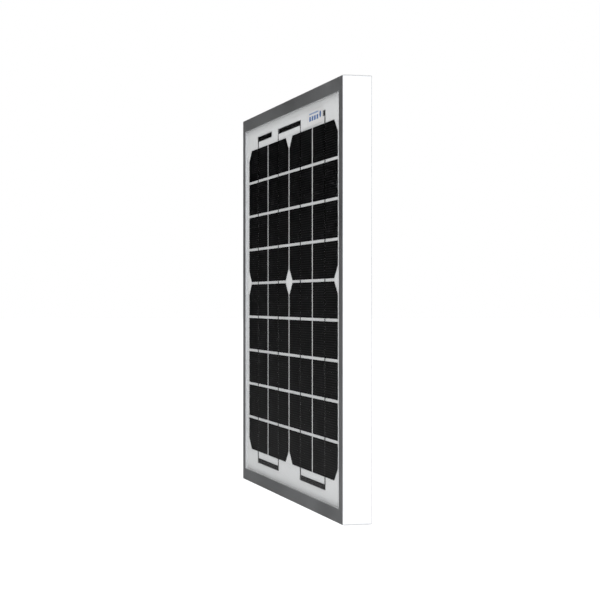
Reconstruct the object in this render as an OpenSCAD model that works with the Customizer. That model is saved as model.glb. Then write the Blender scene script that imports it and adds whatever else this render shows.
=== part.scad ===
// Framed solar panel: 36 cut cells in four strings, glass laminate, four mitred rails,
// and a junction box with two cable glands on the back.
// Origin: bottom centre. The glass faces -Y, +X is to the right as seen from the front, +Z is up.

/* [Panel] */
// Overall width of the frame
panel_w = 365; // [360:1:400]
// Overall height of the frame
panel_h = 370; // [362:1:400]
// Overall depth of the frame
panel_d = 25; // [25:0.5:35]

/* [Cells] */
// Width of one cut cell
cell_w = 78.4; // [70:0.1:80]
// Height of one cut cell
cell_h = 31.35; // [28:0.05:32]
// Gap between columns
gap_x = 2.9; // [2:0.1:4]
// Gap between rows
gap_z = 2.6; // [2:0.1:3]
// Leg of the 45 degree clipped corners
clip_leg = 10.8; // [4:0.1:14]
// Width of an interconnect ribbon
ribbon_w = 2.9; // [1.5:0.1:4]
// Height of a bus ribbon
bus_h = 4.9; // [3:0.1:6]

/* [Frame rails] */
// Width of the front lip
lip_w = 12; // [8:0.5:14]
// Thickness of the front lip
lip_t = 1.1; // [0.8:0.1:1.5]
// Thickness of the outer wall
wall_t = 1.4; // [1:0.1:1.8]
// Width of the back flange
flange_w = 16; // [14:0.5:20]
// Radius of the mounting holes
mount_hole_r = 3.25; // [2.5:0.25:3.5]
// Distance between the mounting holes along a side rail
mount_pitch = 200; // [120:5:260]

/* [Junction box] */
// Width of the box
box_w = 92; // [88:1:100]
// Height of the box
box_h = 66; // [64:1:68]
// Gap between the box and the top rail's flange
box_gap = 2; // [1:0.5:4]
// Thickness of the box walls
box_wall = 2.6; // [2.4:0.1:3]
// Distance between the two glands
gland_pitch = 40; // [30:1:50]

/* [Hidden] */
$fn = 64;
eps = 0.5;

// Depths behind the front face of the frame, layer by layer
seal_front_t = 0.1;
glass_t = 2.5;
front_eva_t = 0.35;
cell_t = 0.2;
rear_eva_t = 0.6;
backsheet_t = 0.3;
seal_rear_t = 0.95;
ribbon_t = 0.2;
strip_t = 0.1;
label_t = 0.1;
glass_q = lip_t + seal_front_t;
front_eva_q = glass_q + glass_t;
cell_q = front_eva_q + front_eva_t;
rear_eva_q = cell_q + cell_t;
backsheet_q = rear_eva_q + rear_eva_t;
back_q = backsheet_q + backsheet_t;
shelf_q = back_q + seal_rear_t;
strip_q = rear_eva_q + ribbon_t;
lead_q = strip_q + strip_t;

// Rail profile
shelf_t = 1.2;
chamber_w = 7.6;
chamber_d = 6;
chamber_wall = 1.2;
flange_t = 1.4;
mitre_gap = 0.04;
chamber_q = shelf_q + shelf_t;
chamber_end_q = chamber_q + chamber_d;
ground_hole_r = 2;
drain_w = 8;
drain_h = 3;
drain_inset = 30;
drain_q = (chamber_end_q + chamber_wall + panel_d - flange_t) / 2;

// Corner keys
key_clear = 0.1;
key_leg = 34;
crimp_w = 1.2;
crimp_depth = 1;
crimp_pitch = 8;

// Laminate
laminate_inset = 3;
seal_inset = lip_w - 0.6;
mid_z = panel_h / 2;
pitch_x = cell_w + gap_x;
pitch_z = cell_h + gap_z;
columns = 4;
rows = 9;
cells_h = rows * cell_h + (rows - 1) * gap_z;
ribbon_inset = 2;
ribbon_bend = 0.3;
bus_offset = cells_h / 2 + 8.9;
bus_z = mid_z + bus_offset;
bus_break = 67.7;
bus_overlap = 10;
joggle = 2;
strip_h = 14;
strip_w = 2 * (bus_break - joggle);
label_x = 63.5;
label_w = 51.7;
label_h = 13.2;
rating_w = 90;
rating_h = 55;
rating_z = 218;

// Junction box
pad_t = 0.8;
floor_t = 1.8;
box_corner_r = 3;
box_top_z = panel_h - flange_w - box_gap;
box_z = box_top_z - box_h / 2;
box_bottom_z = box_top_z - box_h;
floor_q = back_q + pad_t;
floor_end_q = floor_q + floor_t;
rim_q = panel_d - 4.2;
lid_gap = 0.2;
lid_t = 2.2;
lid_q = rim_q + lid_gap;
rib_d = 1.1;
rib_w = 1.2;
rib_clear = 0.15;
groove_w = 1.2;
groove_d = 1;
gasket_clear = 0.03;
window_w = 36;
window_h = 10;
lead_x = 14;
lead_end_q = 15.5;
tab_w = 14;
tab_out = 3;
tab_t = 1.6;

// Lid hinge
hinge_x = -box_w / 2 - 2.8;
hinge_q = lid_q;
knuckle_r = 2.6;
hinge_pin_r = 1.2;
hinge_clear = 0.05;
ear_h = 6;
lid_knuckle_h = 28;
knuckle_gap = 0.3;
pin_head_r = 1.9;
pin_head_h = 1.2;

// Terminals
block_w = 60;
block_h = 22;
block_z = 323;
block_end_q = 11;
barrier_w = 2;
barrier_end_q = 15.5;
plate_w = 10;
plate_t = 1;
plate_low_z = 302;
plate_high_z = 348;
screw_x = lead_x + plate_w / 2;
screw_z = 326;
screw_r = 1.7;
screw_clear = 0.05;
screw_head_r = 3.2;
screw_head_h = 2.2;
screw_slot_w = 0.9;
screw_slot_d = 1;
diode_z = 306;
diode_r = 2.7;
diode_len = 9;
diode_lead_r = 0.5;
diode_lead_x = 20;

// Glands, measured along their axes from the bottom wall of the box
gland_q = 14.2;
gland_r = 4.5;
gland_bore_r = 3.3;
gland_af = 12;
gland_hex_h = 4.5;
gland_out = 11;
gland_in = 8;
seal_len = 5.5;
seal_outer_r = 3.7;
seal_bore_r = 2.75;
nut_clear = 0.05;
nut_gap = 0.2;
nut_end_t = 2.2;
nut_dome_h = 2.9;
nut_mouth_r = 3.1;
locknut_af = 11;
locknut_h = 2.8;

ALUMINIUM = [0.72, 0.73, 0.75];
BLACK_PLASTIC = [0.09, 0.09, 0.1];
TINNED_COPPER = [0.3, 0.3, 0.32];

// Places

function depth_y(q) = q - panel_d / 2;
function cell_x(column) = (column - (columns + 1) / 2) * pitch_x;
function cell_z(row) = mid_z + ((rows + 1) / 2 - row) * pitch_z;
function gland_x(side) = side * gland_pitch / 2;

// Extrudes an outline drawn in X and Z from depth q0 to depth q1
module layer(q0, q1) {
    translate([0, depth_y(q1), 0])
        rotate([90, 0, 0])
            linear_extrude(q1 - q0)
                children();
}

module slab(x0, x1, z0, z1, q0, q1) {
    translate([x0, depth_y(q0), z0])
        cube([x1 - x0, q1 - q0, z1 - z0]);
}

// Outline at a distance in from the outer edge of the frame
module inset_outline(inset) {
    translate([inset - panel_w / 2, inset])
        square([panel_w - 2 * inset, panel_h - 2 * inset]);
}

module ring_layer(inset_a, inset_b, q0, q1) {
    layer(q0, q1)
        difference() {
            inset_outline(inset_a);
            inset_outline(inset_b);
        }
}

module rounded_outline(w, h, r) {
    square([w - 2 * r, h], center = true);
    square([w, h - 2 * r], center = true);
    for (sx = [-1, 1], sz = [-1, 1])
        translate([sx * (w / 2 - r), sz * (h / 2 - r)])
            circle(r);
}

// Frame

// Section of a rail: depth across, distance in from the outer face upwards
module rail_profile() {
    inner_p = wall_t + chamber_w + chamber_wall;
    shelf_end_q = chamber_end_q + chamber_wall;
    flange_q = panel_d - flange_t;
    difference() {
        translate([-panel_d / 2, 0])
            polygon([
                [0, 0], [0, lip_w], [lip_t, lip_w], [lip_t, wall_t],
                [shelf_q, wall_t], [shelf_q, lip_w], [chamber_q, lip_w], [chamber_q, inner_p],
                [shelf_end_q, inner_p], [shelf_end_q, wall_t],
                [flange_q, wall_t], [flange_q, flange_w], [panel_d, flange_w], [panel_d, 0]
            ]);
        translate([depth_y(chamber_q), wall_t])
            square([chamber_d, chamber_w]);
    }
}

module rail_hole(x, r) {
    translate([x, depth_y(panel_d - flange_t / 2), flange_w / 2])
        rotate([90, 0, 0])
            cylinder(r = r, h = 2 * flange_t, center = true);
}

// A rail along X with its outer face down, mitred at both ends
module rail(length, is_side) {
    half = length / 2 - mitre_gap;
    reach = flange_w + 1;
    difference() {
        intersection() {
            translate([-length / 2, 0, 0])
                rotate([90, 0, 90])
                    linear_extrude(length)
                        rail_profile();
            rotate([90, 0, 0])
                linear_extrude(panel_d + 2, center = true)
                    polygon([
                        [-half - 1, -1], [half + 1, -1],
                        [half - reach, reach], [reach - half, reach]
                    ]);
        }
        if (is_side) {
            rail_hole(-mount_pitch / 2, mount_hole_r);
            rail_hole(mount_pitch / 2, mount_hole_r);
            rail_hole(0, ground_hole_r);
        } else {
            for (side = [-1, 1])
                translate([side * (length / 2 - drain_inset), depth_y(drain_q), wall_t / 2])
                    cube([drain_w, drain_h, 2 * wall_t], center = true);
        }
    }
}

module frame_bottom() {
    color(ALUMINIUM) rail(panel_w, false);
}

module frame_top() {
    color(ALUMINIUM)
        translate([0, 0, panel_h])
            rotate([0, 180, 0])
                rail(panel_w, false);
}

module frame_left() {
    color(ALUMINIUM)
        translate([-panel_w / 2, 0, mid_z])
            rotate([0, 90, 0])
                rail(panel_h, true);
}

module frame_right() {
    color(ALUMINIUM)
        translate([panel_w / 2, 0, mid_z])
            rotate([0, -90, 0])
                rail(panel_h, true);
}

// L-shaped key in the chambers of two rails, with crimp notches on its inner sides
module corner_key(side_x, side_z) {
    p0 = wall_t + key_clear;
    p1 = wall_t + chamber_w - key_clear;
    color([0.6, 0.61, 0.62])
        layer(chamber_q + key_clear, chamber_end_q - key_clear)
            translate([side_x * panel_w / 2, mid_z + side_z * mid_z])
                mirror([side_x > 0 ? 1 : 0, 0])
                    mirror([0, side_z > 0 ? 1 : 0])
                        difference() {
                            translate([p0, p0])
                                square(key_leg - p0);
                            translate([p1, p1])
                                square(key_leg);
                            for (i = [0:2]) {
                                along = p1 + crimp_pitch * (i + 0.5);
                                translate([along, p1 - crimp_depth])
                                    square([crimp_w, 2 * crimp_depth]);
                                translate([p1 - crimp_depth, along])
                                    square([2 * crimp_depth, crimp_w]);
                            }
                        }
}

// U-shaped bead round the edge of the laminate
module edge_sealant() {
    color([0.85, 0.85, 0.84]) {
        ring_layer(wall_t, laminate_inset, lip_t, shelf_q);
        ring_layer(laminate_inset, seal_inset, lip_t, glass_q);
        ring_layer(laminate_inset, seal_inset, back_q, shelf_q);
    }
}

// Laminate

module cell_outline(column, row) {
    side = column % 2 == 0 ? 1 : -1;
    clipped_ends = row == 1 || row == 5 ? [1] : row == 4 || row == rows ? [-1] : [];
    translate([cell_x(column), cell_z(row)])
        difference() {
            square([cell_w, cell_h], center = true);
            for (end = clipped_ends)
                translate([side * cell_w / 2, end * cell_h / 2])
                    rotate(45)
                        square(clip_leg * sqrt(2), center = true);
        }
}

module cell_string(column) {
    color([0.03, 0.03, 0.05])
        layer(cell_q, rear_eva_q)
            for (row = [1:rows])
                cell_outline(column, row);
}

// Outline of one bus ribbon; side is 1 above the cells and -1 below them
module bus_outline(x0, x1, side) {
    translate([x0, mid_z + side * bus_offset - bus_h / 2])
        square([x1 - x0, bus_h]);
}

function bus_end_x(column, side) = cell_x(column) + side * ribbon_w / 2;

module bus_ribbon(x0, x1, side) {
    color(TINNED_COPPER)
        layer(cell_q, rear_eva_q)
            bus_outline(x0, x1, side);
}

module bus_ribbon_top_left() { bus_ribbon(bus_end_x(1, -1), -bus_break, 1); }
module bus_ribbon_top_middle() { bus_ribbon(bus_end_x(2, -1), bus_end_x(3, 1), 1); }
module bus_ribbon_top_right() { bus_ribbon(bus_break, bus_end_x(4, 1), 1); }
module bus_ribbon_bottom_left() { bus_ribbon(bus_end_x(1, -1), bus_end_x(2, 1), -1); }
module bus_ribbon_bottom_right() { bus_ribbon(bus_end_x(3, -1), bus_end_x(4, 1), -1); }

// A flat ribbon from z0 to z1 with its front face at depth q
module flat_ribbon(x, z0, z1, q) {
    slab(x - ribbon_w / 2, x + ribbon_w / 2, z0, z1, q, q + ribbon_t);
}

// From the front of one cell, down through the gap, to the back of the next
module cell_link(x, row) {
    upper_z = cell_z(row);
    lower_z = cell_z(row + 1);
    front_y = depth_y(cell_q - ribbon_t);
    back_y = depth_y(rear_eva_q);
    start_z = upper_z + cell_h / 2 - ribbon_inset;
    bend_z = upper_z - cell_h / 2 - ribbon_bend;
    unbend_z = lower_z + cell_h / 2 + ribbon_bend;
    end_z = lower_z - cell_h / 2 + ribbon_inset;
    translate([x - ribbon_w / 2, 0, 0])
        rotate([90, 0, 90])
            linear_extrude(ribbon_w)
                polygon([
                    [front_y, start_z], [front_y, bend_z],
                    [back_y, unbend_z], [back_y, end_z],
                    [back_y + ribbon_t, end_z], [back_y + ribbon_t, unbend_z],
                    [front_y + ribbon_t, bend_z], [front_y + ribbon_t, start_z]
                ]);
}

// All the ribbons of one string. Odd strings run front to back downwards, even ones upwards.
module string_ribbons(column) {
    x = cell_x(column);
    flip = column % 2 == 0;
    color(TINNED_COPPER)
        translate([0, 0, flip ? panel_h : 0])
            mirror([0, 0, flip ? 1 : 0]) {
                for (row = [1:rows - 1])
                    cell_link(x, row);
                flat_ribbon(x, cell_z(1) - cell_h / 2 + ribbon_inset, bus_z + bus_h / 2,
                    rear_eva_q);
                flat_ribbon(x, panel_h - bus_z - bus_h / 2,
                    cell_z(rows) + cell_h / 2 - ribbon_inset, cell_q - ribbon_t);
            }
}

module lead_insulation_strip() {
    color([0.9, 0.9, 0.88])
        slab(-strip_w / 2, strip_w / 2, bus_z - strip_h / 2, bus_z + strip_h / 2,
            strip_q, lead_q);
}

// From the back of an end bus ribbon, behind the strip, then out through the backsheet
module output_lead() {
    start_x = -bus_break - bus_overlap;
    bend_x = -bus_break + joggle;
    front_y = depth_y(rear_eva_q);
    back_y = depth_y(lead_q);
    end_y = depth_y(lead_end_q);
    color(TINNED_COPPER)
        translate([0, 0, bus_z - bus_h / 2])
            linear_extrude(bus_h)
                polygon([
                    [start_x, front_y], [-bus_break, front_y],
                    [bend_x, back_y], [-lead_x + ribbon_t, back_y],
                    [-lead_x + ribbon_t, end_y], [-lead_x, end_y],
                    [-lead_x, back_y + ribbon_t], [bend_x, back_y + ribbon_t],
                    [-bus_break, front_y + ribbon_t], [start_x, front_y + ribbon_t]
                ]);
}

module output_lead_left() { output_lead(); }
module output_lead_right() { mirror([1, 0, 0]) output_lead(); }

module label_outline() {
    translate([label_x, bus_z - label_h / 2])
        square([label_w, label_h]);
}

module front_label() {
    color([0.9, 0.88, 0.88])
        layer(front_eva_q, front_eva_q + label_t)
            label_outline();
}

module front_glass() {
    color([0.8, 0.87, 0.86, 0.35])
        layer(glass_q, front_eva_q)
            inset_outline(laminate_inset);
}

// Sheet between the glass and the back of the cells, moulded round cells, buses and ribbons
module front_encapsulant() {
    color([0.93, 0.94, 0.94, 0.3])
        difference() {
            layer(front_eva_q, rear_eva_q)
                inset_outline(laminate_inset);
            layer(cell_q, rear_eva_q + eps) {
                for (column = [1:columns], row = [1:rows])
                    cell_outline(column, row);
                bus_outline(bus_end_x(1, -1), -bus_break, 1);
                bus_outline(bus_end_x(2, -1), bus_end_x(3, 1), 1);
                bus_outline(bus_break, bus_end_x(4, 1), 1);
                bus_outline(bus_end_x(1, -1), bus_end_x(2, 1), -1);
                bus_outline(bus_end_x(3, -1), bus_end_x(4, 1), -1);
            }
            for (column = [1:columns])
                ribbon_channel(column, cell_q - ribbon_t, rear_eva_q + eps);
            layer(front_eva_q - eps, front_eva_q + label_t)
                label_outline();
        }
}

module ribbon_channel(column, q0, q1) {
    x = cell_x(column);
    slab(x - ribbon_w / 2, x + ribbon_w / 2,
        panel_h - bus_z - bus_h / 2, bus_z + bus_h / 2, q0, q1);
}

module lead_slit(side, q0, q1) {
    slit_w = 3;
    translate([side * lead_x, 0, 0])
        slab(-slit_w / 2, slit_w / 2, bus_z - bus_h / 2, bus_z + bus_h / 2, q0, q1);
}

module rear_encapsulant() {
    lead_start = bus_break + bus_overlap;
    color([0.93, 0.94, 0.94, 0.3])
        difference() {
            layer(rear_eva_q, backsheet_q)
                inset_outline(laminate_inset);
            for (column = [1:columns])
                ribbon_channel(column, rear_eva_q - eps, rear_eva_q + ribbon_t);
            slab(-strip_w / 2, strip_w / 2, bus_z - strip_h / 2, bus_z + strip_h / 2,
                strip_q, lead_q);
            for (side = [-1, 1]) {
                mirror([side > 0 ? 1 : 0, 0, 0])
                    slab(-lead_start, -lead_x + ribbon_t, bus_z - bus_h / 2, bus_z + bus_h / 2,
                        rear_eva_q - eps, lead_q + ribbon_t);
                lead_slit(side, rear_eva_q, backsheet_q + eps);
            }
        }
}

module backsheet() {
    color([0.93, 0.94, 0.95])
        difference() {
            layer(backsheet_q, back_q)
                inset_outline(laminate_inset);
            for (side = [-1, 1])
                lead_slit(side, backsheet_q - eps, back_q + eps);
        }
}

module rating_label() {
    color([0.8, 0.81, 0.82])
        slab(-rating_w / 2, rating_w / 2, rating_z - rating_h / 2, rating_z + rating_h / 2,
            back_q, back_q + label_t);
}

// Junction box

module box_outline(inset) {
    translate([0, box_z])
        rounded_outline(box_w - 2 * inset, box_h - 2 * inset, box_corner_r - inset);
}

module box_ring(inset_a, inset_b, q0, q1) {
    layer(q0, q1)
        difference() {
            box_outline(inset_a);
            box_outline(inset_b);
        }
}

module box_window(q0, q1) {
    high_z = box_top_z - box_wall;
    slab(-window_w / 2, window_w / 2, high_z - window_h, high_z, q0, q1);
}

module jbox_adhesive_pad() {
    color([0.2, 0.2, 0.2])
        difference() {
            layer(back_q, floor_q)
                box_outline(1);
            box_window(back_q - eps, floor_q + eps);
        }
}

module hinge_cylinder(z0, z1, r) {
    translate([hinge_x, depth_y(hinge_q), z0])
        cylinder(r = r, h = z1 - z0);
}

ear_z0 = box_z - lid_knuckle_h / 2 - knuckle_gap - ear_h;
ear_z1 = box_z + lid_knuckle_h / 2 + knuckle_gap + ear_h;

module hinge_ear(z0, z1) {
    hinge_cylinder(z0, z1, knuckle_r);
    slab(hinge_x, -box_w / 2 + eps, z0, z1, hinge_q - knuckle_r, rim_q - lid_gap);
}

module gland_bore(side, r) {
    translate([gland_x(side), depth_y(gland_q), box_bottom_z - eps])
        cylinder(r = r, h = box_wall + 2 * eps);
}

module jbox_base() {
    groove_inset = (box_wall - groove_w) / 2;
    color(BLACK_PLASTIC)
        difference() {
            union() {
                difference() {
                    layer(floor_q, rim_q)
                        box_outline(0);
                    layer(floor_end_q, rim_q + eps)
                        box_outline(box_wall);
                }
                hinge_ear(ear_z0, ear_z0 + ear_h);
                hinge_ear(ear_z1 - ear_h, ear_z1);
            }
            box_window(floor_q - eps, floor_end_q + eps);
            box_ring(groove_inset, groove_inset + groove_w, rim_q - groove_d, rim_q + eps);
            hinge_cylinder(ear_z0 - eps, ear_z1 + eps, hinge_pin_r);
            gland_bore(-1, gland_r + nut_clear);
            gland_bore(1, gland_r + nut_clear);
        }
}

module jbox_lid_gasket() {
    groove_inset = (box_wall - groove_w) / 2;
    color([0.3, 0.3, 0.31])
        box_ring(groove_inset, groove_inset + groove_w, rim_q - groove_d, lid_q - gasket_clear);
}

module jbox_lid() {
    rib_inset = box_wall + rib_clear;
    knuckle_z0 = box_z - lid_knuckle_h / 2;
    knuckle_z1 = box_z + lid_knuckle_h / 2;
    color(BLACK_PLASTIC)
        difference() {
            union() {
                layer(lid_q, lid_q + lid_t)
                    box_outline(0);
                layer(lid_q - rib_d, lid_q)
                    difference() {
                        translate([0, box_z])
                            square([box_w - 2 * rib_inset, box_h - 2 * rib_inset], center = true);
                        translate([0, box_z])
                            square([box_w - 2 * rib_inset - 2 * rib_w,
                                box_h - 2 * rib_inset - 2 * rib_w], center = true);
                    }
                hinge_cylinder(knuckle_z0, knuckle_z1, knuckle_r);
                slab(hinge_x, -box_w / 2 + eps, knuckle_z0, knuckle_z1, lid_q, lid_q + lid_t);
                slab(box_w / 2 - eps, box_w / 2 + tab_out, box_z - tab_w / 2, box_z + tab_w / 2,
                    lid_q, lid_q + tab_t);
            }
            hinge_cylinder(knuckle_z0 - eps, knuckle_z1 + eps, hinge_pin_r + hinge_clear);
            layer(lid_q + lid_t - 0.5, lid_q + lid_t + eps)
                translate([0, box_z])
                    rounded_outline(box_w - 16, box_h - 16, 2);
        }
}

module jbox_hinge_pin() {
    color([0.7, 0.7, 0.72]) {
        hinge_cylinder(ear_z0, ear_z1 + pin_head_h / 2, hinge_pin_r);
        hinge_cylinder(ear_z1, ear_z1 + pin_head_h, pin_head_r);
    }
}

module screw_bore(side, q0, q1) {
    translate([side * screw_x, depth_y(q1), screw_z])
        rotate([90, 0, 0])
            cylinder(r = screw_r + screw_clear, h = q1 - q0);
}

module terminal_block() {
    z0 = block_z - block_h / 2;
    z1 = block_z + block_h / 2;
    color([0.82, 0.82, 0.8])
        difference() {
            union() {
                slab(-block_w / 2, block_w / 2, z0, z1, floor_end_q, block_end_q);
                for (x = [-block_w / 2, 0, block_w / 2])
                    slab(x - barrier_w / 2, x + barrier_w / 2, z0, z1,
                        floor_end_q, barrier_end_q);
            }
            screw_bore(-1, floor_end_q - eps, block_end_q + eps);
            screw_bore(1, floor_end_q - eps, block_end_q + eps);
        }
}

// Flat plate with a tab turned up beside the output lead
module terminal_plate(side) {
    plate_end_q = block_end_q + plate_t;
    color([0.72, 0.66, 0.5])
        difference() {
            mirror([side > 0 ? 1 : 0, 0, 0])
                union() {
                    slab(-lead_x - plate_w, -lead_x, plate_low_z, plate_high_z,
                        block_end_q, plate_end_q);
                    slab(-lead_x - plate_t, -lead_x, bus_z - bus_h, plate_high_z,
                        block_end_q, lead_end_q);
                }
            screw_bore(side, block_end_q - eps, plate_end_q + eps);
        }
}

module terminal_plate_left() { terminal_plate(-1); }
module terminal_plate_right() { terminal_plate(1); }

module terminal_screw(side) {
    head_q = block_end_q + plate_t + 0.02;
    tip_q = floor_end_q + 0.3;
    color([0.75, 0.76, 0.78])
        translate([side * screw_x, depth_y(head_q), screw_z])
            rotate([-90, 0, 0])
                difference() {
                    union() {
                        translate([0, 0, tip_q - head_q])
                            cylinder(r = screw_r, h = head_q - tip_q + eps);
                        cylinder(r = screw_head_r, h = screw_head_h);
                    }
                    translate([0, 0, screw_head_h])
                        cube([3 * screw_head_r, screw_slot_w, 2 * screw_slot_d], center = true);
                }
}

module terminal_screw_left() { terminal_screw(-1); }
module terminal_screw_right() { terminal_screw(1); }

module bypass_diode() {
    axis_q = block_end_q + plate_t + diode_lead_r;
    color([0.1, 0.1, 0.1])
        translate([0, depth_y(axis_q), diode_z])
            rotate([0, 90, 0]) {
                cylinder(r = diode_r, h = diode_len, center = true);
                cylinder(r = diode_lead_r, h = 2 * diode_lead_x, center = true);
            }
}

// Glands

// Places a gland part with z = 0 on the bottom wall of the box and +z inwards
module at_gland(side) {
    translate([gland_x(side), depth_y(gland_q), box_bottom_z])
        children();
}

module hexagon(across_flats, z0, z1) {
    translate([0, 0, z0])
        cylinder(r = across_flats / sqrt(3), h = z1 - z0, $fn = 6);
}

module tube_cut(r, z0, z1) {
    translate([0, 0, z0])
        cylinder(r = r, h = z1 - z0);
}

module gland_body(side) {
    color(BLACK_PLASTIC)
        at_gland(side)
            difference() {
                union() {
                    hexagon(gland_af, -gland_hex_h, 0);
                    tube_cut(gland_r, -gland_out, gland_in);
                }
                tube_cut(gland_bore_r, -gland_out - eps, gland_in + eps);
                tube_cut(seal_outer_r, -gland_out - eps, -gland_out + seal_len);
            }
}

module gland_seal(side) {
    color([0.15, 0.15, 0.16])
        at_gland(side)
            difference() {
                tube_cut(seal_outer_r, -gland_out, -gland_out + seal_len);
                tube_cut(seal_bore_r, -gland_out - eps, eps - gland_out + seal_len);
            }
}

module gland_nut(side) {
    inner_end = -gland_out - nut_gap;
    low = inner_end - nut_end_t;
    high = -gland_hex_h - nut_gap;
    color(BLACK_PLASTIC)
        at_gland(side)
            difference() {
                union() {
                    hexagon(gland_af, low + nut_dome_h, high);
                    translate([0, 0, low])
                        cylinder(r1 = gland_af / 2 - 1.6, r2 = gland_af / 2, h = nut_dome_h);
                }
                tube_cut(gland_r + nut_clear, inner_end, high + eps);
                tube_cut(nut_mouth_r, low - eps, inner_end + eps);
            }
}

module gland_locknut(side) {
    color(BLACK_PLASTIC)
        at_gland(side)
            difference() {
                hexagon(locknut_af, box_wall, box_wall + locknut_h);
                tube_cut(gland_r, box_wall - eps, box_wall + locknut_h + eps);
            }
}

frame_top();
frame_bottom();
frame_left();
frame_right();
corner_key(-1, 1);  // corner_key_top_left
corner_key(1, 1);  // corner_key_top_right
corner_key(-1, -1);  // corner_key_bottom_left
corner_key(1, -1);  // corner_key_bottom_right
edge_sealant();
front_glass();
front_encapsulant();
rear_encapsulant();
backsheet();
cell_string(1);  // cell_string_1
cell_string(2);  // cell_string_2
cell_string(3);  // cell_string_3
cell_string(4);  // cell_string_4
string_ribbons(1);  // string_ribbons_1
string_ribbons(2);  // string_ribbons_2
string_ribbons(3);  // string_ribbons_3
string_ribbons(4);  // string_ribbons_4
bus_ribbon_top_left();
bus_ribbon_top_middle();
bus_ribbon_top_right();
bus_ribbon_bottom_left();
bus_ribbon_bottom_right();
lead_insulation_strip();
output_lead_left();
output_lead_right();
front_label();
rating_label();
jbox_adhesive_pad();
jbox_base();
jbox_lid();
jbox_lid_gasket();
jbox_hinge_pin();
terminal_block();
terminal_plate_left();
terminal_plate_right();
terminal_screw_left();
terminal_screw_right();
bypass_diode();
gland_body(-1);  // gland_body_left
gland_body(1);  // gland_body_right
gland_seal(-1);  // gland_seal_left
gland_seal(1);  // gland_seal_right
gland_nut(-1);  // gland_nut_left
gland_nut(1);  // gland_nut_right
gland_locknut(-1);  // gland_locknut_left
gland_locknut(1);  // gland_locknut_right
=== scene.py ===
"""Looks of a framed solar panel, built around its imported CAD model. Units are metres."""

import math
from collections import Counter

import bmesh
import bpy
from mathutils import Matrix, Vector


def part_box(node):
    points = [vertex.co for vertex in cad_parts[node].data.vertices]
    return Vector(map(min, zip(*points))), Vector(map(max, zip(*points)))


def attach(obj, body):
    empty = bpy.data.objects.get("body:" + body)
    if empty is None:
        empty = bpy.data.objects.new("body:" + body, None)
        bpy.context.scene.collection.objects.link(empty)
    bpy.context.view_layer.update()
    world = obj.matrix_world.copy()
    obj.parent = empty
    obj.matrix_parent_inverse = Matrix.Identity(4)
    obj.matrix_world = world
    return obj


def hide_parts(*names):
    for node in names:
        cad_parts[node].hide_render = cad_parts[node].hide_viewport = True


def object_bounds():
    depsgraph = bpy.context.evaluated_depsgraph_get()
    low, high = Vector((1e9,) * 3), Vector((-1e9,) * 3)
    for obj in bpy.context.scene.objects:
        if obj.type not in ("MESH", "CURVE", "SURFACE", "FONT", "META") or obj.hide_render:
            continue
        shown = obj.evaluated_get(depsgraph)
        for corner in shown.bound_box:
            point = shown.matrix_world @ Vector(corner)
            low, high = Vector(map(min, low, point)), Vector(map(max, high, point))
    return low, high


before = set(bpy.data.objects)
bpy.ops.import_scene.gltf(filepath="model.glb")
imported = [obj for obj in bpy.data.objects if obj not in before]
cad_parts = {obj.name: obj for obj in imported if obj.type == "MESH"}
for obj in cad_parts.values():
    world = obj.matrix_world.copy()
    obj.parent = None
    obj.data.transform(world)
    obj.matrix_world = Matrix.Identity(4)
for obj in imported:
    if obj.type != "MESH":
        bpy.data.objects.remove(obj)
cad_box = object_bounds()
panel_lo, panel_hi = cad_box
MM = 0.001

scene = bpy.context.scene


# ---------------------------------------------------------------- node helpers


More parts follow.
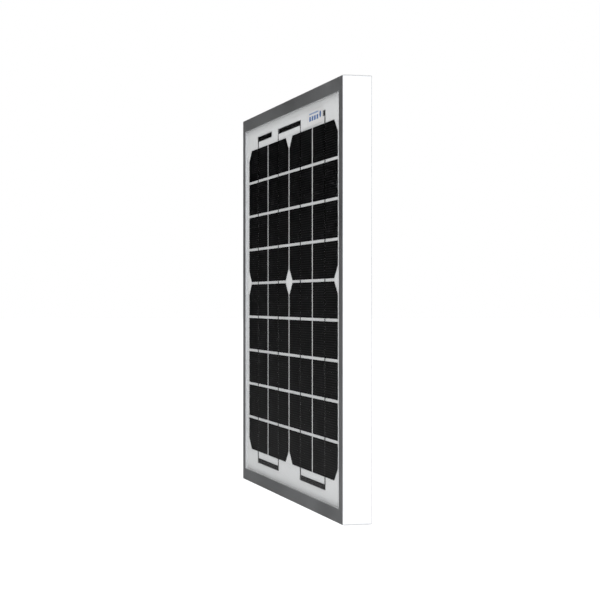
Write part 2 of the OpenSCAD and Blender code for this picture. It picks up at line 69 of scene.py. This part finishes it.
class Shader:
    """A material's node tree, with short calls for the nodes used here."""

    def __init__(self, name, colour=(0.8, 0.8, 0.8), **sockets):
        self.material = bpy.data.materials.new(name)
        self.material.use_nodes = True
        self.tree = self.material.node_tree
        self.bsdf = self.tree.nodes["Principled BSDF"]
        self.output = self.tree.nodes["Material Output"]
        self.bsdf.inputs["Base Color"].default_value = (*colour, 1)
        for label, value in sockets.items():
            self.bsdf.inputs[label.replace("_", " ")].default_value = value

    def node(self, kind, settings=(), **values):
        made = self.tree.nodes.new(kind)
        for label, value in dict(settings).items():
            setattr(made, label, value)
        for label, value in values.items():
            self.put(made.inputs[label.replace("_", " ")], value)
        return made

    def put(self, socket, value):
        if isinstance(value, bpy.types.NodeSocket):
            self.tree.links.new(value, socket)
        else:
            socket.default_value = value

    def set(self, label, value):
        self.put(self.bsdf.inputs[label], value)

    def coords(self, scale=(1, 1, 1)):
        """Object coordinates, which are the row frame's metres on every piece."""
        source = self.node("ShaderNodeTexCoord").outputs["Object"]
        if tuple(scale) == (1, 1, 1):
            return source
        return self.node("ShaderNodeMapping", Vector=source, Scale=scale).outputs[0]

    def axes(self):
        split = self.node("ShaderNodeSeparateXYZ", Vector=self.coords())
        return split.outputs[0], split.outputs[1], split.outputs[2]

    def noise(self, vector, scale=1.0, detail=2.0):
        made = self.node("ShaderNodeTexNoise", Vector=vector, Scale=scale, Detail=detail)
        return made.outputs["Fac"]

    def math(self, operation, a, b=0.0):
        made = self.node("ShaderNodeMath", {"operation": operation})
        self.put(made.inputs[0], a)
        self.put(made.inputs[1], b)
        return made.outputs[0]

    def span(self, value, low, high, to_low=0.0, to_high=1.0, smooth=False):
        """value from low..high to to_low..to_high, clamped."""
        kind = "SMOOTHSTEP" if smooth else "LINEAR"
        made = self.node("ShaderNodeMapRange", {"interpolation_type": kind})
        for index, item in enumerate((value, low, high, to_low, to_high)):
            self.put(made.inputs[index], item)
        return made.outputs[0]

    def band(self, value, low, high):
        """1 between low and high, else 0."""
        above = self.math("GREATER_THAN", value, low)
        return self.math("MULTIPLY", above, self.math("LESS_THAN", value, high))

    def both(self, a, b):
        return self.math("MULTIPLY", a, b)

    def either(self, *masks):
        result = masks[0]
        for mask in masks[1:]:
            result = self.math("MAXIMUM", result, mask)
        return result

    def mix(self, share, a, b):
        made = self.node("ShaderNodeMix", {"data_type": "RGBA"})
        self.put(made.inputs[0], share)
        for socket, colour in ((made.inputs[6], a), (made.inputs[7], b)):
            self.put(socket, (*colour, 1) if isinstance(colour, tuple) else colour)
        return made.outputs[2]

    def bump(self, height, distance, strength=1.0, normal=None):
        made = self.node("ShaderNodeBump", Height=height, Distance=distance, Strength=strength)
        if normal is not None:
            self.put(made.inputs["Normal"], normal)
        return made.outputs[0]


def paint(material, *nodes):
    """Gives CAD nodes a material."""
    for name in nodes:
        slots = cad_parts[name].data.materials
        slots.clear()
        slots.append(material)


def soften(width, *nodes, segments=2, weigh=None):
    """Rounds the edges of CAD nodes with modifiers, without touching their meshes' points.
    weigh gives each crease, from its two ends, a share of the width; without it every edge
    sharper than BEVEL_ANGLE has all of it. A crease is used by one face only, because the
    pack's meshes hold their points twice there."""
    for name in nodes:
        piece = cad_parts[name]
        if weigh:
            mesh = piece.data
            uses = Counter(key for face in mesh.polygons for key in face.edge_keys)
            shares = mesh.attributes.new("bevel_weight_edge", "FLOAT", "EDGE")
            for edge, share in zip(mesh.edges, shares.data):
                if uses[edge.key] == 1:
                    share.value = weigh(*(mesh.vertices[v].co for v in edge.vertices))
        weld = piece.modifiers.new("weld", "WELD")
        weld.merge_threshold = 1e-6
        bevel = piece.modifiers.new("bevel", "BEVEL")
        bevel.width = width
        bevel.segments = segments
        bevel.limit_method = "WEIGHT" if weigh else "ANGLE"
        bevel.angle_limit = BEVEL_ANGLE
        bevel.use_clamp_overlap = True
        creases = piece.modifiers.new("creases", "EDGE_SPLIT")
        creases.split_angle = SPLIT_ANGLE
        normals = piece.modifiers.new("normals", "WEIGHTED_NORMAL")
        normals.keep_sharp = True


def rail_weight(axis):
    """Rounds a rail's outer front corner and the tips of its mitred ends fully, its outer back
    corner less and the lip's and flange's inner edges a little. The mitres stay sharp, so that
    the rails meet flush. axis is the rail's length: 0 for X, 2 for Z."""
    across = 2 - axis

    def weigh(a, b):
        middle = (a + b) / 2
        outside = min(middle[across] - panel_lo[across], panel_hi[across] - middle[across])
        front_or_back = min(middle.y - panel_lo.y, panel_hi.y - middle.y)
        if abs((b - a)[axis]) > LONG_EDGE and front_or_back < TOUCH:
            if outside > TOUCH:
                return LIP_EDGE
            return 1.0 if middle.y < 0 else BACK_EDGE
        tip = min(middle[axis] - panel_lo[axis], panel_hi[axis] - middle[axis])
        at_tip = outside < TOUCH and tip < TIP_REACH and abs(b.y - a.y) > TIP_DEPTH
        return TIP_EDGE if at_tip else 0.0

    return weigh


def named(prefix):
    return [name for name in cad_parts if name.startswith(prefix)]


# ---------------------------------------------------------------- materials


def anodised(name, along):
    """Clear anodised aluminium with a fine drawn grain along one axis."""
    grain_scale = [2600.0, 2600.0, 2600.0]
    grain_scale["xyz".index(along)] = 25.0
    s = Shader(name, Metallic=0.93)
    grain = s.noise(s.coords(grain_scale), detail=3)
    cloud = s.noise(s.coords(), scale=18, detail=3)
    tone = s.math("ADD", s.both(grain, 0.35), s.both(cloud, 0.65))
    s.set("Base Color", s.mix(tone, (0.60, 0.61, 0.625), (0.69, 0.70, 0.715)))
    s.set("Roughness", s.span(tone, 0.3, 0.7, 0.30, 0.40))
    s.set("Normal", s.bump(grain, 0.01 * MM, 0.2))
    return s.material


def cast_metal():
    s = Shader("key_metal", Metallic=1.0)
    grain = s.noise(s.coords(), scale=900, detail=4)
    s.set("Base Color", s.mix(grain, (0.42, 0.43, 0.44), (0.6, 0.61, 0.62)))
    s.set("Roughness", s.span(grain, 0.3, 0.7, 0.45, 0.6))
    s.set("Normal", s.bump(grain, 0.05 * MM, 0.4))
    return s.material


def silicone():
    s = Shader("silicone")
    ripple = s.noise(s.coords(), scale=140, detail=3)
    s.set("Base Color", s.mix(ripple, (0.60, 0.60, 0.59), (0.72, 0.72, 0.71)))
    s.set("Roughness", s.span(ripple, 0.3, 0.7, 0.4, 0.55))
    s.set("Normal", s.bump(ripple, 0.2 * MM, 0.4))
    return s.material


def cell_row(s, z):
    """Height as a count of rows, whole numbers being half-way between two rows of cells."""
    return s.math("ADD", s.math("DIVIDE", s.math("SUBTRACT", z, middle_z), pitch_z), 0.5)


def white_film():
    """Backsheet film, with the cells and ribbons faintly printed through to the back."""
    s = Shader("white_film")
    fine = s.noise(s.coords(), scale=1500, detail=3)
    broad = s.noise(s.coords(), scale=22, detail=3)
    s.set("Base Color", s.mix(broad, (0.775, 0.780, 0.785), (0.805, 0.810, 0.815)))
    s.set("Roughness", s.span(fine, 0.3, 0.7, 0.42, 0.56))
    x, _, z = s.axes()
    column = s.math("FRACT", s.math("DIVIDE", x, pitch_x))
    from_middle = s.both(s.math("ABSOLUTE", s.math("SUBTRACT", column, 0.5)), pitch_x)
    ribbon = s.span(from_middle, 1.3 * MM, 3.0 * MM, 1.0, 0.0, smooth=True)
    seam = s.span(from_middle, pitch_x / 2 - 2.6 * MM, pitch_x / 2 - 0.8 * MM, 0.0, 0.7,
                  smooth=True)
    row = s.math("FRACT", cell_row(s, z))
    from_row = s.both(s.math("ABSOLUTE", s.math("SUBTRACT", row, 0.5)), pitch_z)
    row_seam = s.span(from_row, pitch_z / 2 - 2.4 * MM, pitch_z / 2 - 0.8 * MM, 0.0, 0.7,
                      smooth=True)
    inside = s.both(s.band(x, cells_lo.x, cells_hi.x), s.band(z, cells_lo.z, cells_hi.z))
    relief = s.both(inside, s.math("SUBTRACT", ribbon, s.math("MAXIMUM", seam, row_seam)))
    printed = s.bump(relief, 0.12 * MM, 0.6)
    s.set("Normal", s.bump(fine, 0.015 * MM, 0.35, normal=printed))
    return s.material


def silicon():
    """Dark antireflective cells with fine printed fingers and a bare rim."""
    s = Shader("silicon", Roughness=0.35)
    s.bsdf.inputs["Specular IOR Level"].default_value = 0.12
    x, _, z = s.axes()
    column = s.math("DIVIDE", x, pitch_x)
    row = cell_row(s, z)
    across = s.both(s.math("ABSOLUTE", s.math("SUBTRACT", s.math("FRACT", column), 0.5)), pitch_x)
    up = s.both(s.math("SUBTRACT", s.math("FRACT", row), 0.5), pitch_z)
    in_print = s.both(
        s.math("LESS_THAN", across, cell_w / 2 - FINGER_MARGIN),
        s.math("LESS_THAN", s.math("ABSOLUTE", up), cell_h / 2 - FINGER_MARGIN),
    )
    stripe = s.math("PINGPONG", s.math("ADD", up, finger_pitch / 2), finger_pitch / 2)
    finger = s.both(in_print, s.math("LESS_THAN", stripe, FINGER_WIDTH / 2))
    index = s.node("ShaderNodeCombineXYZ")
    s.put(index.inputs[0], s.math("FLOOR", column))
    s.put(index.inputs[1], s.math("FLOOR", row))
    lot = s.node("ShaderNodeTexWhiteNoise", Vector=index.outputs[0]).outputs["Value"]
    cloud = s.noise(s.coords(), scale=35, detail=3)
    tone = s.math("ADD", s.both(lot, 0.4), s.both(cloud, 0.6))
    bare = s.mix(tone, (0.0004, 0.0004, 0.0007), (0.0010, 0.0010, 0.0014))
    s.set("Base Color", s.mix(finger, bare, (0.0165, 0.0168, 0.0173)))
    s.set("Normal", s.bump(finger, 0.02 * MM, 0.4))
    return s.material


def tinned(name, light, dark, low, high):
    """Tinned copper ribbon, rolled flat."""
    s = Shader(name, Metallic=1.0)
    rolled = s.noise(s.coords((900, 900, 60)), detail=3)
    solder = s.noise(s.coords(), scale=260, detail=3)
    tone = s.math("ADD", s.both(rolled, 0.5), s.both(solder, 0.5))
    s.set("Base Color", s.mix(tone, dark, light))
    s.set("Roughness", s.span(tone, 0.3, 0.7, low, high))
    s.set("Normal", s.bump(solder, 0.01 * MM, 0.05))
    return s.material


def clear_glass():
    """Refractive glass that lets lamps and diffuse light straight through."""
    s = Shader("clear_glass")
    s.tree.nodes.remove(s.bsdf)
    glass = s.node("ShaderNodeBsdfGlass", Color=GLASS_TINT, Roughness=0.0, IOR=GLASS_IOR)
    through = s.node("ShaderNodeBsdfTransparent", Color=GLASS_TINT)
    path = s.node("ShaderNodeLightPath")
    lamp = s.math("MAXIMUM", path.outputs["Is Shadow Ray"], path.outputs["Is Diffuse Ray"])
    both = s.node("ShaderNodeMixShader")
    s.put(both.inputs[0], lamp)
    s.put(both.inputs[1], glass.outputs[0])
    s.put(both.inputs[2], through.outputs[0])
    s.put(s.output.inputs["Surface"], both.outputs[0])
    return s.material


def bonded_face():
    """The glass's back face, where the encapsulant wets it and nothing reflects."""
    s = Shader("bonded_face")
    s.tree.nodes.remove(s.bsdf)
    through = s.node("ShaderNodeBsdfTransparent")
    s.put(s.output.inputs["Surface"], through.outputs[0])
    return s.material


def front_label():
    """White film with a thin rule over a row of plain blocks, and a disc at the far end."""
    lo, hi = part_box("front_label")
    s = Shader("front_label", Roughness=0.45)
    x, _, z = s.axes()
    along = s.math("SUBTRACT", x, lo.x)
    up = s.math("SUBTRACT", z, (lo.z + hi.z) / 2)
    start, block_pitch, block_w, block_count = 8 * MM, 8 * MM, 5.4 * MM, 4
    disc_along, disc_up, disc_r = 44 * MM, 0.6 * MM, 2.9 * MM
    disc_x = s.math("SUBTRACT", along, disc_along)
    disc_z = s.math("SUBTRACT", up, disc_up)
    radius = s.math("SQRT", s.math("ADD", s.both(disc_x, disc_x), s.both(disc_z, disc_z)))
    disc = s.math("LESS_THAN", radius, disc_r)
    step = s.math("MODULO", s.math("SUBTRACT", along, start), block_pitch)
    blocks = s.both(s.band(along, start, start + block_count * block_pitch),
                    s.band(up, -2.6 * MM, 1.4 * MM))
    blocks = s.both(blocks, s.math("LESS_THAN", step, block_w))
    rule = s.both(s.band(along, start, 38 * MM), s.band(up, 3.0 * MM, 4.4 * MM))
    paper = s.noise(s.coords(), scale=500, detail=3)
    white = s.mix(paper, (0.74, 0.73, 0.73), (0.79, 0.78, 0.78))
    inked = s.mix(s.either(disc, blocks), white, (0.075, 0.165, 0.38))
    s.set("Base Color", s.mix(rule, inked, (0.27, 0.36, 0.55)))
    s.set("Normal", s.bump(paper, 0.01 * MM, 0.3))
    return s.material


def rating_label():
    """Silver film with blank ruled rows and a border."""
    lo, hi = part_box("rating_label")
    s = Shader("rating_label", Metallic=0.35)
    x, _, z = s.axes()
    edge_x = s.math("MINIMUM", s.math("SUBTRACT", x, lo.x), s.math("SUBTRACT", hi.x, x))
    edge_z = s.math("MINIMUM", s.math("SUBTRACT", z, lo.z), s.math("SUBTRACT", hi.z, z))
    edge = s.math("MINIMUM", edge_x, edge_z)
    border = s.band(edge, 2.2 * MM, 2.6 * MM)
    margin, half_rule, row_count = 6 * MM, 0.15 * MM, 7
    row_pitch = (hi.z - lo.z - 2 * margin) / row_count
    rows = s.math("PINGPONG", s.math("SUBTRACT", z, lo.z + margin), row_pitch / 2)
    rule = s.both(s.math("LESS_THAN", rows, half_rule), s.math("GREATER_THAN", edge_x, margin))
    rule = s.both(rule, s.band(z, lo.z + margin - MM, hi.z - margin + MM))
    divide = s.both(s.band(x, -half_rule, half_rule), s.band(z, lo.z + margin, hi.z - margin))
    film = s.noise(s.coords((60, 60, 1800)), detail=3)
    silver = s.mix(film, (0.55, 0.56, 0.57), (0.66, 0.67, 0.68))
    s.set("Base Color", s.mix(s.either(border, rule, divide), silver, (0.05, 0.05, 0.055)))
    s.set("Roughness", s.span(film, 0.3, 0.7, 0.3, 0.42))
    return s.material


def moulded(name, dark, light, grain=1400, rough=(0.38, 0.52)):
    """Moulded plastic with a fine spark-eroded grain."""
    s = Shader(name)
    fine = s.noise(s.coords(), scale=grain, detail=3)
    broad = s.noise(s.coords(), scale=45, detail=3)
    s.set("Base Color", s.mix(s.math("ADD", s.both(fine, 0.4), s.both(broad, 0.6)), dark, light))
    s.set("Roughness", s.span(broad, 0.3, 0.7, *rough))
    s.set("Normal", s.bump(fine, 0.03 * MM, 0.5))
    return s.material


def turned_metal(name, dark, light, low, high):
    """Plated screw, pin or plate with a faint grain along Z."""
    s = Shader(name, Metallic=1.0)
    grain = s.noise(s.coords((2500, 2500, 150)), detail=2)
    s.set("Base Color", s.mix(grain, dark, light))
    s.set("Roughness", s.span(grain, 0.3, 0.7, low, high))
    s.set("Normal", s.bump(grain, 0.01 * MM, 0.1))
    return s.material


def banded_epoxy():
    """Diode body with a grey band near one end, and tinned leads."""
    lo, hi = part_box("bypass_diode")
    half_body = 4.6 * MM
    s = Shader("banded_epoxy")
    x, _, _ = s.axes()
    fine = s.noise(s.coords(), scale=900, detail=3)
    middle = (lo.x + hi.x) / 2
    lead = s.math("GREATER_THAN", s.math("ABSOLUTE", s.math("SUBTRACT", x, middle)), half_body)
    band = s.band(x, middle - 3.4 * MM, middle - 2.2 * MM)
    body = s.mix(band, (0.012, 0.012, 0.013), (0.45, 0.45, 0.46))
    s.set("Base Color", s.mix(lead, body, (0.55, 0.55, 0.56)))
    s.set("Metallic", lead)
    s.set("Roughness", s.span(fine, 0.3, 0.7, 0.28, 0.4))
    s.set("Normal", s.bump(fine, 0.02 * MM, 0.3))
    return s.material


def foam():
    s = Shader("foam")
    cells = s.noise(s.coords(), scale=2200, detail=4)
    s.set("Base Color", s.mix(cells, (0.015, 0.015, 0.015), (0.06, 0.06, 0.06)))
    s.set("Roughness", s.span(cells, 0.3, 0.7, 0.8, 0.95))
    s.set("Normal", s.bump(cells, 0.2 * MM, 0.7))
    return s.material


# ---------------------------------------------------------------- sizes and places

# Width of the rails' rounded front corners; the next three are shares of it
RAIL_EDGE = 0.8 * MM
BACK_EDGE = 0.6
LIP_EDGE = 0.2
TIP_EDGE = 1.0
BEVEL_ANGLE = math.radians(35)
SPLIT_ANGLE = math.radians(50)
# How rail_weight tells edges apart: along the rail, on the panel's box, and at a mitre's tip
LONG_EDGE = 20 * MM
TOUCH = 0.01 * MM
TIP_REACH = 0.1 * MM
TIP_DEPTH = 10 * MM
# Gap between a clear sheet and what it touches
HAIR = 0.02 * MM
GLASS_IOR = 1.52
GLASS_TINT = (0.99, 0.995, 0.995, 1)
ENCAPSULANT_HAZE = 0.002
ROWS = 9
ROW_GAP = 2.6 * MM
FINGERS_PER_CELL = 15
FINGER_WIDTH = 0.6 * MM
FINGER_MARGIN = 1.4 * MM

cells_lo, first_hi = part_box("cell_string_1")
second_lo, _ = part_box("cell_string_2")
_, cells_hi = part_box("cell_string_4")
cell_w = first_hi.x - cells_lo.x
pitch_x = second_lo.x - cells_lo.x
pitch_z = (cells_hi.z - cells_lo.z + ROW_GAP) / ROWS
cell_h = pitch_z - ROW_GAP
middle_z = (cells_lo.z + cells_hi.z) / 2
finger_pitch = cell_h / FINGERS_PER_CELL


# ---------------------------------------------------------------- clear sheets


def sheet(name, lo, hi, arris, front, back):
    """A sheet with its edges ground off, whose back face has a material of its own."""
    mesh = bpy.data.meshes.new(name)
    b = bmesh.new()
    bmesh.ops.create_cube(b, size=1)
    size, centre = hi - lo, (lo + hi) / 2
    for v in b.verts:
        v.co = Vector(v.co[i] * size[i] + centre[i] for i in range(3))
    bmesh.ops.bevel(b, geom=b.edges[:], offset=arris, segments=2, affect="EDGES")
    b.normal_update()
    for f in b.faces:
        f.material_index = 1 if f.normal.y > 0.99 else 0
    b.to_mesh(mesh)
    b.free()
    piece = bpy.data.objects.new(name, mesh)
    scene.collection.objects.link(piece)
    mesh.materials.append(front)
    mesh.materials.append(back)
    return piece


def add_clear_sheets():
    """Glass and encapsulant a hair apart from what they touch, so that faces never coincide."""
    lo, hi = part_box("front_glass")
    glass = sheet("glass_sheet", lo, Vector((hi.x, hi.y - HAIR, hi.z)), 0.25 * MM,
                  clear_glass(), bonded_face())
    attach(glass, "root")
    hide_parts("front_glass")

    s = Shader("encapsulant", (0.96, 0.97, 0.97), Roughness=0.5)
    haze = s.noise(s.coords(), scale=60, detail=2)
    s.set("Alpha", s.both(haze, ENCAPSULANT_HAZE))
    lo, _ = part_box("front_encapsulant")
    _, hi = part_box("rear_encapsulant")
    fused = sheet("encapsulant_sheet", Vector((lo.x, lo.y + HAIR, lo.z)),
                  Vector((hi.x, hi.y - HAIR, hi.z)), 0.1 * MM, s.material, s.material)
    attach(fused, "root")
    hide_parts("front_encapsulant", "rear_encapsulant")


# ---------------------------------------------------------------- pieces


def finish_frame():
    soften(RAIL_EDGE, "frame_top", "frame_bottom", segments=3, weigh=rail_weight(0))
    soften(RAIL_EDGE, "frame_left", "frame_right", segments=3, weigh=rail_weight(2))
    paint(anodised("anodised_x", "x"), "frame_top", "frame_bottom")
    paint(anodised("anodised_z", "z"), "frame_left", "frame_right")
    soften(0.4 * MM, *named("corner_key"))
    paint(cast_metal(), *named("corner_key"))
    paint(silicone(), "edge_sealant")


def finish_laminate():
    paint(white_film(), "backsheet", "lead_insulation_strip")
    paint(silicon(), *named("cell_string"))
    tin = ((0.8, 0.8, 0.81), (0.7, 0.7, 0.71), 0.08, 0.13)
    paint(tinned("ribbon_metal", *tin), *named("string_ribbons"))
    paint(tinned("bus_metal", *tin), *named("bus_ribbon"), *named("output_lead"))
    paint(front_label(), "front_label")
    paint(rating_label(), "rating_label")
    add_clear_sheets()


def finish_junction_box():
    soften(0.3 * MM, "terminal_block")
    soften(0.35 * MM, *named("gland_body"), *named("gland_locknut"))
    black = ((0.012, 0.012, 0.013), (0.024, 0.024, 0.026))
    paint(moulded("box_plastic", *black), "jbox_base", "jbox_lid")
    paint(moulded("gland_plastic", *black, grain=900, rough=(0.3, 0.45)),
          *named("gland_body"), *named("gland_nut"), *named("gland_locknut"))
    paint(moulded("gland_rubber", (0.018, 0.018, 0.019), (0.035, 0.035, 0.036),
                  rough=(0.6, 0.75)), *named("gland_seal"), "jbox_lid_gasket")
    paint(moulded("terminal_plastic", (0.52, 0.52, 0.49), (0.62, 0.62, 0.59)), "terminal_block")
    paint(turned_metal("terminal_brass", (0.66, 0.58, 0.38), (0.72, 0.64, 0.43), 0.3, 0.36),
          *named("terminal_plate"))
    paint(turned_metal("plated_steel", (0.59, 0.6, 0.62), (0.66, 0.67, 0.68), 0.24, 0.3),
          *named("terminal_screw"), "jbox_hinge_pin")
    paint(banded_epoxy(), "bypass_diode")
    paint(foam(), "jbox_adhesive_pad")


# ---------------------------------------------------------------- studio


def add_floor():
    """Pale floor that the gloss doesn't mirror, so the glass stays dark as in a studio tent."""
    s = Shader("floor_paint", Roughness=0.9)
    mottle = s.noise(s.coords(), scale=3, detail=3)
    s.set("Base Color", s.mix(mottle, (0.34, 0.34, 0.34), (0.38, 0.38, 0.38)))
    s.bsdf.inputs["Emission Color"].default_value = (1, 1, 1, 1)
    s.bsdf.inputs["Emission Strength"].default_value = FLOOR_GLOW
    mesh = bpy.data.meshes.new("floor")
    b = bmesh.new()
    bmesh.ops.create_circle(b, cap_ends=True, segments=96, radius=FLOOR_RADIUS)
    for v in b.verts:
        v.co.z = panel_lo.z - FLOOR_DROP
    b.to_mesh(mesh)
    b.free()
    mesh.materials.append(s.material)
    floor = bpy.data.objects.new("floor", mesh)
    scene.collection.objects.link(floor)
    floor.visible_glossy = False
    floor.visible_transmission = False


def add_world():
    """Soft studio tent: brighter in front and most of all at the right, dim above, below and
    straight behind, with a dark flag at the left and a little in front for the glass and the
    lips to mirror. The camera sees plain white."""
    world = bpy.data.worlds.new("studio")
    scene.world = world
    world.use_nodes = True
    s = Shader.__new__(Shader)
    s.tree = world.node_tree
    background = s.tree.nodes["Background"]
    direction = s.node("ShaderNodeTexCoord").outputs["Generated"]
    split = s.node("ShaderNodeSeparateXYZ", Vector=direction)
    x, y, z = split.outputs[0], split.outputs[1], split.outputs[2]
    steep = s.math("ABSOLUTE", z)
    tent = s.both(s.span(y, -0.3, 0.5, FRONT_LIGHT, BACK_LIGHT, smooth=True),
                  s.span(steep, 0.6, 1.0, 1.0, 0.25, smooth=True))
    behind = s.span(y, 0.82, 0.97, 1.0, BACK_DIP, smooth=True)
    strip = s.both(s.span(steep, 0.35, 0.7, 1.0, 0.2, smooth=True), SIDE_LIGHT)
    side = s.span(x, 0.5, 0.87, 0.0, 1.0, smooth=True)
    tent = s.both(s.both(tent, behind), s.math("SUBTRACT", 1.0, side))
    tent = s.math("ADD", tent, s.both(side, strip))
    toward_flag = s.node("ShaderNodeVectorMath", {"operation": "DOT_PRODUCT"})
    s.put(toward_flag.inputs[0], direction)
    s.put(toward_flag.inputs[1], flag_direction)
    flag = s.span(toward_flag.outputs["Value"], math.cos(math.radians(FLAG_OUTER)),
                  math.cos(math.radians(FLAG_INNER)), 0.0, 1.0, smooth=True)
    low = s.span(z, FLAG_TOP, -FLAG_TOP, 0.0, 1.0)
    under = s.span(z, *FLAG_BOTTOM, 0.0, 1.0, smooth=True)
    flag_light = s.both(s.both(s.math("POWER", low, FLAG_FADE), under), FLAG_LIGHT)
    open_part = s.both(tent, s.math("SUBTRACT", 1.0, flag))
    light = s.math("ADD", open_part, s.both(flag, flag_light))
    seen = s.node("ShaderNodeLightPath").outputs["Is Camera Ray"]
    s.put(background.inputs["Strength"], s.span(seen, 0.0, 1.0, light, 1.0))
    background.inputs["Color"].default_value = (1, 1, 1, 1)


def add_camera():
    """Level camera, almost edge-on to the glass, at the height of the panel's middle."""
    azimuth = math.radians(CAMERA_AZIMUTH)
    look = Vector((-math.sin(azimuth), math.cos(azimuth), 0))
    right = Vector((math.cos(azimuth), math.sin(azimuth), 0))
    near_edge = Vector((panel_hi.x, panel_lo.y, (panel_lo.z + panel_hi.z) / 2))
    height = panel_hi.z - panel_lo.z
    data = bpy.data.cameras.new("camera")
    data.lens = CAMERA_LENS
    data.sensor_width = CAMERA_SENSOR
    camera = bpy.data.objects.new("camera", data)
    camera.location = near_edge - look * height * CAMERA_DISTANCE - right * height * CAMERA_OFFSET
    camera.rotation_euler = (math.pi / 2, 0, azimuth)
    scene.collection.objects.link(camera)
    scene.camera = camera


# Camera: distance and sideways offset of the near edge are shares of the panel's height,
# the lens and the sensor are in Blender's camera millimetres, and angles are in degrees
CAMERA_AZIMUTH = 75.04
CAMERA_LENS = 97.44
CAMERA_SENSOR = 36
CAMERA_DISTANCE = 3.598
CAMERA_OFFSET = 0.0950

# Studio: the floor in metres, lights as strengths, the flag's top and bottom as the z of a
# direction, and its inner and outer edge in degrees from its middle
FLOOR_RADIUS = 14.0
FLOOR_DROP = 0.05 * MM
FLOOR_GLOW = 0.9
FRONT_LIGHT = 1.34
BACK_LIGHT = 0.9
BACK_DIP = 0.3
SIDE_LIGHT = 1.8
FLAG_LIGHT = 0.058
FLAG_FADE = 2.2
FLAG_TOP = 0.12
FLAG_BOTTOM = (-0.22, -0.13)
FLAG_INNER = 32
FLAG_OUTER = 52
flag_azimuth = math.radians(CAMERA_AZIMUTH)
flag_direction = (-math.sin(flag_azimuth), -math.cos(flag_azimuth), 0.0)

finish_frame()
finish_laminate()
finish_junction_box()
add_floor()
add_world()
add_camera()
scene.view_settings.view_transform = "Standard"
